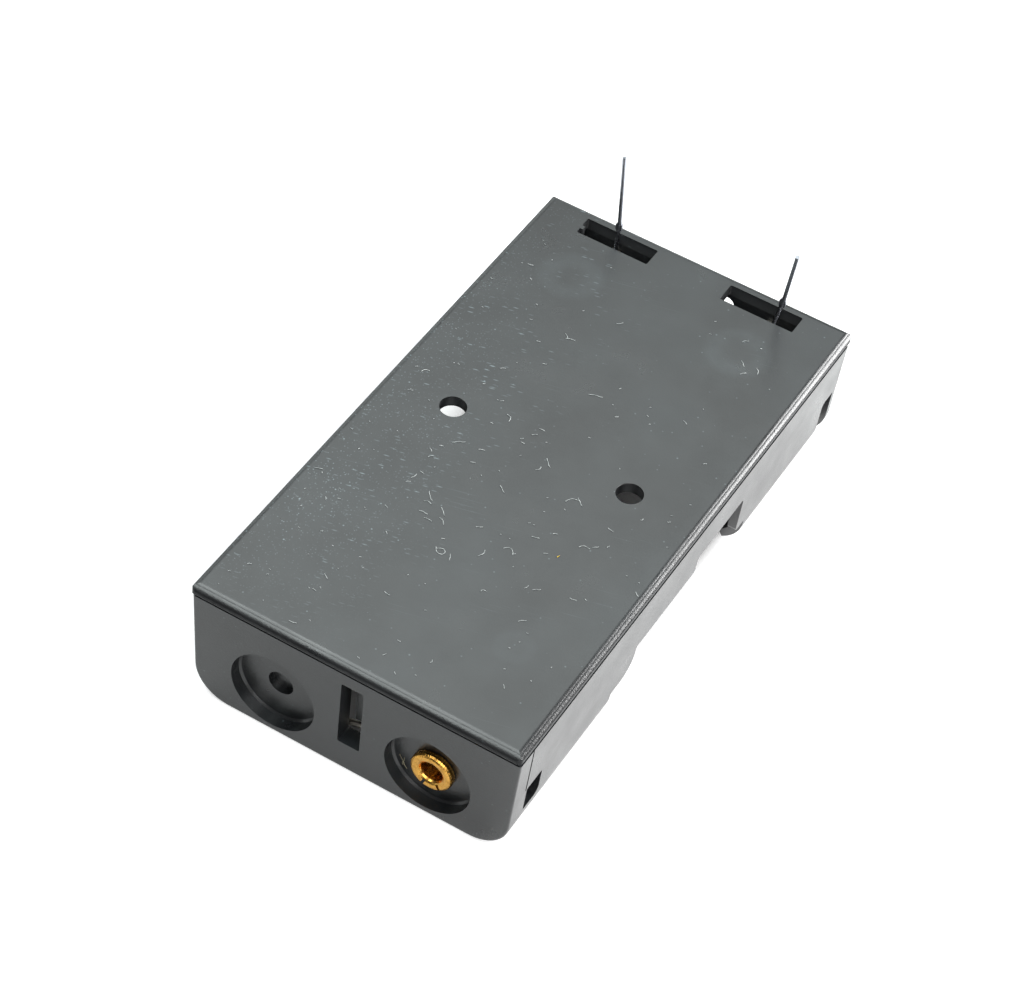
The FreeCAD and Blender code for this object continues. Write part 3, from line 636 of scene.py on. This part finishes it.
def coil_points(centre, wire, base_y, tip_y, radii, end_angle):
    """A conical coil from its tip to its base, closed by one turn at each end."""
    settings = bpy.context.scene.holder_springs
    turns = settings.turns
    closed = wire + settings.gap
    steps = turns * STEPS_PER_TURN
    opened = [0.0]
    for i in range(steps):
        turn = (i + 0.5) / STEPS_PER_TURN
        opened.append(opened[-1] + smooth_step((turn - 1) * 2) * smooth_step((turns - 1 - turn) * 2))
    spread = abs(tip_y - base_y) - closed * turns
    toward_tip = math.copysign(1.0, tip_y - base_y)
    points = []
    for i in range(steps, -1, -1):
        turn = i / STEPS_PER_TURN
        radius = coil_radius(turn, turns, radii)
        y = base_y + toward_tip * (closed * turn + spread * opened[i] / opened[-1])
        angle = end_angle - 2 * math.pi * turn
        points.append(Vector((centre + radius * math.cos(angle), y, AXIS_Z + radius * math.sin(angle))))
    return points


def fibre(x, y, heading, length, bend, curl=0.0, steps=7):
    """Points of a fibre that lies on the base plate. Places and lengths are in millimetres."""
    lie = PLATE_TOP + bpy.context.scene.holder_lint.thickness / 2
    points = [Vector((x * MM, y * MM, lie))]
    stride = length * MM / steps
    for i in range(steps):
        share = (i + 0.5) / steps
        angle = math.radians(heading + bend * share + curl * math.sin(CURL_WAVE * share))
        points.append(points[-1] + Vector((math.cos(angle), math.sin(angle), 0)) * stride)
    return points


def clear_of_openings(x, y):
    """True where the plate is whole for a millimetre round."""
    over_screw = math.hypot(abs(x) - SCREW_X, y - SCREW_Y) < SCREW_CLEAR
    return not over_screw and y < SLOTS_CLEAR_Y


def stray_fibres():
    """Short fibres strewn over the plate, more of them to the near left, and most across the view."""
    settings = bpy.context.scene.holder_lint
    chance = random.Random(settings.seed)
    lines = []
    while len(lines) < settings.strays:
        x = chance.uniform(*STREWN_X)
        y = chance.uniform(*STREWN_Y)
        if clear_of_openings(x, y) and chance.random() < 0.55 - 0.012 * x - 0.007 * y:
            heading = chance.gauss(*STRAY_HEADING)
            length = min(chance.expovariate(4.0) + STRAY_LENGTH[0], STRAY_LENGTH[1])
            lines.append(fibre(x, y, heading, length, chance.gauss(*STRAY_BEND), steps=4))
    return lines


class HOLDER_OT_link_spring(bpy.types.Operator):
    """Makes the left bay's coil with its tail and the loop under the eyelet"""
    bl_idname = "holder.link_spring"
    bl_label = "Link spring"

    def execute(self, context):
        settings = context.scene.holder_springs
        wire = settings.link_wire
        base_radius = AXIS_Z - LINK_LOW.z - wire / 2
        loop_radius = LINK_HIGH.x - BAY_X - wire / 2
        base_y = LINK_LOW.y + wire / 2
        tip_y = LINK_HIGH.y - wire / 2
        radii = (base_radius, base_radius, settings.link_tip)

        # The tail is a straight line that just touches the coil's foot and the loop's head.
        across = math.hypot(2 * BAY_X, AXIS_Z - EYELET_Z)
        slope = math.asin((base_radius + loop_radius) / across) - math.asin((AXIS_Z - EYELET_Z) / across)
        points = coil_points(-BAY_X, wire, base_y, tip_y, radii, slope - math.pi / 2)
        last = points[-1]
        loop_y = EYELET_HIGH.y - HEAD_THICK - SPRING_PLAY - wire / 2
        arrive_x = BAY_X - loop_radius * math.sin(slope)
        for i in range(1, TAIL_POINTS + 1):
            x = last.x + (arrive_x - last.x) * i / TAIL_POINTS
            stepped = smooth_step((x - BAY_X + TAIL_STEP_FROM) / (TAIL_STEP_FROM - TAIL_STEP_TO))
            y = base_y + (loop_y - base_y) * stepped
            points.append(Vector((x, y, last.z + (x - last.x) * math.tan(slope))))
        for i in range(1, LOOP_POINTS + 1):
            angle = slope + math.pi / 2 - LOOP_STRIDE * i
            points.append(Vector((BAY_X + loop_radius * math.cos(angle), loop_y,
                                  EYELET_Z + loop_radius * math.sin(angle))))

        # Nickel on drawn steel wire: a warm grey shine, fine grained all ways
        nickel = worn_metal("nickel_plated_spring_wire", context.scene.holder_finish.spring_wire,
                            roughness=0.24, grain=0.12, stretch=(1.0, 1.0, 1.0))
        spring = wires_through("link_spring_wire", [points], wire)
        set_material(spring, nickel)
        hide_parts("link_spring")
        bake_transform(spring)
        return {"FINISHED"}


class HOLDER_OT_minus_spring(bpy.types.Operator):
    """Makes the right bay's coil"""
    bl_idname = "holder.minus_spring"
    bl_label = "Minus spring"

    def execute(self, context):
        settings = context.scene.holder_springs
        wire = settings.minus_wire
        base_radius = AXIS_Z - MINUS_LOW.z - wire / 2
        radii = (base_radius, base_radius - wire - settings.neck_step, settings.minus_tip)
        base_y = MINUS_HIGH.y - wire / 2
        tip_y = MINUS_LOW.y + wire / 2
        points = coil_points(BAY_X, wire, base_y, tip_y, radii, MINUS_END_ANGLE)
        spring = wires_through("minus_spring_wire", [points], wire)
        set_material(spring, bpy.data.materials["nickel_plated_spring_wire"])
        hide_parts("minus_spring")
        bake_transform(spring)
        return {"FINISHED"}


class HOLDER_OT_lint(bpy.types.Operator):
    """Lays the lint on the base plate, with one gold flake, and two strands in the right recess"""
    bl_idname = "holder.lint"
    bl_label = "Lint"

    def execute(self, context):
        thickness = context.scene.holder_lint.thickness
        finish = context.scene.holder_finish
        lines = [fibre(*place, curl=CURL) for place in LINT] + stray_fibres()
        lint = wires_through("plate_lint", lines, thickness, FIBRE_SIDES)
        set_material(lint, lint_material("cotton_lint", finish.lint, finish.lint_shade))
        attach(lint, "holder")

        flake = wires_through("gold_flake", [fibre(*GOLD_FLAKE, steps=3)], thickness * 1.6, FIBRE_SIDES)
        set_material(flake, lint_material("gold_dust", finish.gold, finish.gold_shade))
        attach(flake, "holder")

        y = RECESS_FLOOR - thickness / 2
        strands = [[Vector((x * MM, y, z * MM)) for x, z in route] for route in RECESS_STRANDS]
        caught = wires_through("recess_fibre", strands, thickness, FIBRE_SIDES)
        set_material(caught, lint_material("old_fibre", finish.strand, finish.strand_shade))
        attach(caught, "holder")
        return {"FINISHED"}


class HOLDER_OT_finishes(bpy.types.Operator):
    """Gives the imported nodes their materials"""
    bl_idname = "holder.finishes"
    bl_label = "Finishes"

    def execute(self, context):
        finish = context.scene.holder_finish
        dress_node("holder_body", moulded_abs())
        dress_node("link_eyelet", rolled_brass())

        # Nickel on rolled sheet, softly lined upwards, and tin on drawn wire, a little cooler and shinier
        sheet = worn_metal("nickel_plated_sheet", finish.contact_sheet,
                           roughness=0.28, grain=0.15, stretch=(1.0, 1.0, 0.15))
        tinned = worn_metal("tinned_copper_wire", finish.tinned_wire,
                            roughness=0.22, grain=0.1, stretch=(1.0, 1.0, 0.1))
        for name in ("plus_contact", "minus_plate"):
            dress_node(name, sheet)
        for name in ("plus_lead", "minus_lead"):
            dress_node(name, tinned)
        return {"FINISHED"}


class HOLDER_OT_studio(bpy.types.Operator):
    """Sets the pale floor, the soft lights and the camera of the photograph"""
    bl_idname = "holder.studio"
    bl_label = "Studio"

    def execute(self, context):
        self.lay_floor()
        self.set_world(context)
        for softbox in SOFTBOXES:
            self.add_softbox(context, *softbox)
        self.place_camera(context)
        context.scene.view_settings.view_transform = "Standard"
        return {"FINISHED"}

    def lay_floor(self):
        clear_selection()
        bpy.ops.mesh.primitive_plane_add(size=4.0, location=(0, 0, 0))
        floor = bpy.context.object
        floor.name = "studio_floor"
        set_material(floor, white_paper())

    def set_world(self, context):
        """A dim room, darker low down, and plain white behind the holder."""
        world = bpy.data.worlds.new("studio_room")
        context.scene.world = world
        world.use_nodes = True
        tree = world.node_tree
        tree.nodes.clear()
        _, seen = seen_directly(tree)
        direction = add_node(tree, "TexCoord").outputs["Generated"]
        height = add_node(tree, "SeparateXYZ", {"Vector": direction}).outputs["Z"]
        rising = add_node(tree, "MapRange", {"Value": height, "From Min": 0.1, "From Max": 0.9,
                                             "To Min": 0.3, "To Max": 3.0})
        dim = product(tree, rising, context.scene.holder_studio.room)
        room = add_node(tree, "Background", {"Color": WHITE, "Strength": dim})
        white = add_node(tree, "Background", {"Color": WHITE, "Strength": 1.0})
        mix = add_node(tree, "MixShader", {0: seen, 1: room, 2: white})
        add_node(tree, "OutputWorld", {"Surface": mix})

    def add_softbox(self, context, name, place, aim, size, tint, setting):
        clear_selection()
        bpy.ops.object.light_add(type="AREA", location=place)
        lamp = bpy.context.object
        lamp.name = name
        lamp.data.shape = "RECTANGLE"
        lamp.data.size, lamp.data.size_y = size
        lamp.data.energy = getattr(context.scene.holder_studio, setting)
        lamp.data.color = tint
        toward = Vector(aim) - Vector(place)
        lamp.rotation_euler = toward.to_track_quat("-Z", "Y").to_euler()
        lamp.visible_camera = False

    def place_camera(self, context):
        clear_selection()
        bpy.ops.object.camera_add(location=CAMERA_PLACE)
        camera = bpy.context.object
        camera.rotation_euler = [math.radians(angle) for angle in CAMERA_TURN]
        camera.data.lens = CAMERA_LENS
        camera.data.sensor_width = CAMERA_SENSOR
        camera.data.clip_start = 0.01
        context.scene.camera = camera


class HOLDER_PT_panel(bpy.types.Panel):
    """Lists the steps and their settings"""
    bl_idname = "HOLDER_PT_panel"
    bl_label = "Cell Holder"
    bl_space_type = "VIEW_3D"
    bl_region_type = "UI"
    bl_category = "Cell Holder"

    def draw(self, context):
        for attribute, _ in GROUPS:
            group = getattr(context.scene, attribute)
            box = self.layout.box()
            for name in group.__annotations__:
                box.prop(group, name)
        for operator in OPERATORS:
            self.layout.operator(operator.bl_idname)


GROUPS = (
    ("holder_springs", SpringSettings),
    ("holder_lint", LintSettings),
    ("holder_finish", FinishSettings),
    ("holder_studio", StudioSettings),
)
OPERATORS = (
    HOLDER_OT_link_spring,
    HOLDER_OT_minus_spring,
    HOLDER_OT_lint,
    HOLDER_OT_finishes,
    HOLDER_OT_studio,
)


def register():
    for kind in [group for _, group in GROUPS] + list(OPERATORS) + [HOLDER_PT_panel]:
        bpy.utils.register_class(kind)
    for attribute, group in GROUPS:
        setattr(bpy.types.Scene, attribute, PointerProperty(type=group))


def unregister():
    for attribute, _ in GROUPS:
        delattr(bpy.types.Scene, attribute)
    for kind in [HOLDER_PT_panel] + list(OPERATORS) + [group for _, group in GROUPS]:
        bpy.utils.unregister_class(kind)


def main():
    register()
    bpy.ops.holder.link_spring()
    bpy.ops.holder.minus_spring()
    bpy.ops.holder.lint()
    bpy.ops.holder.finishes()
    bpy.ops.holder.studio()


if __name__ == "__main__":
    main()
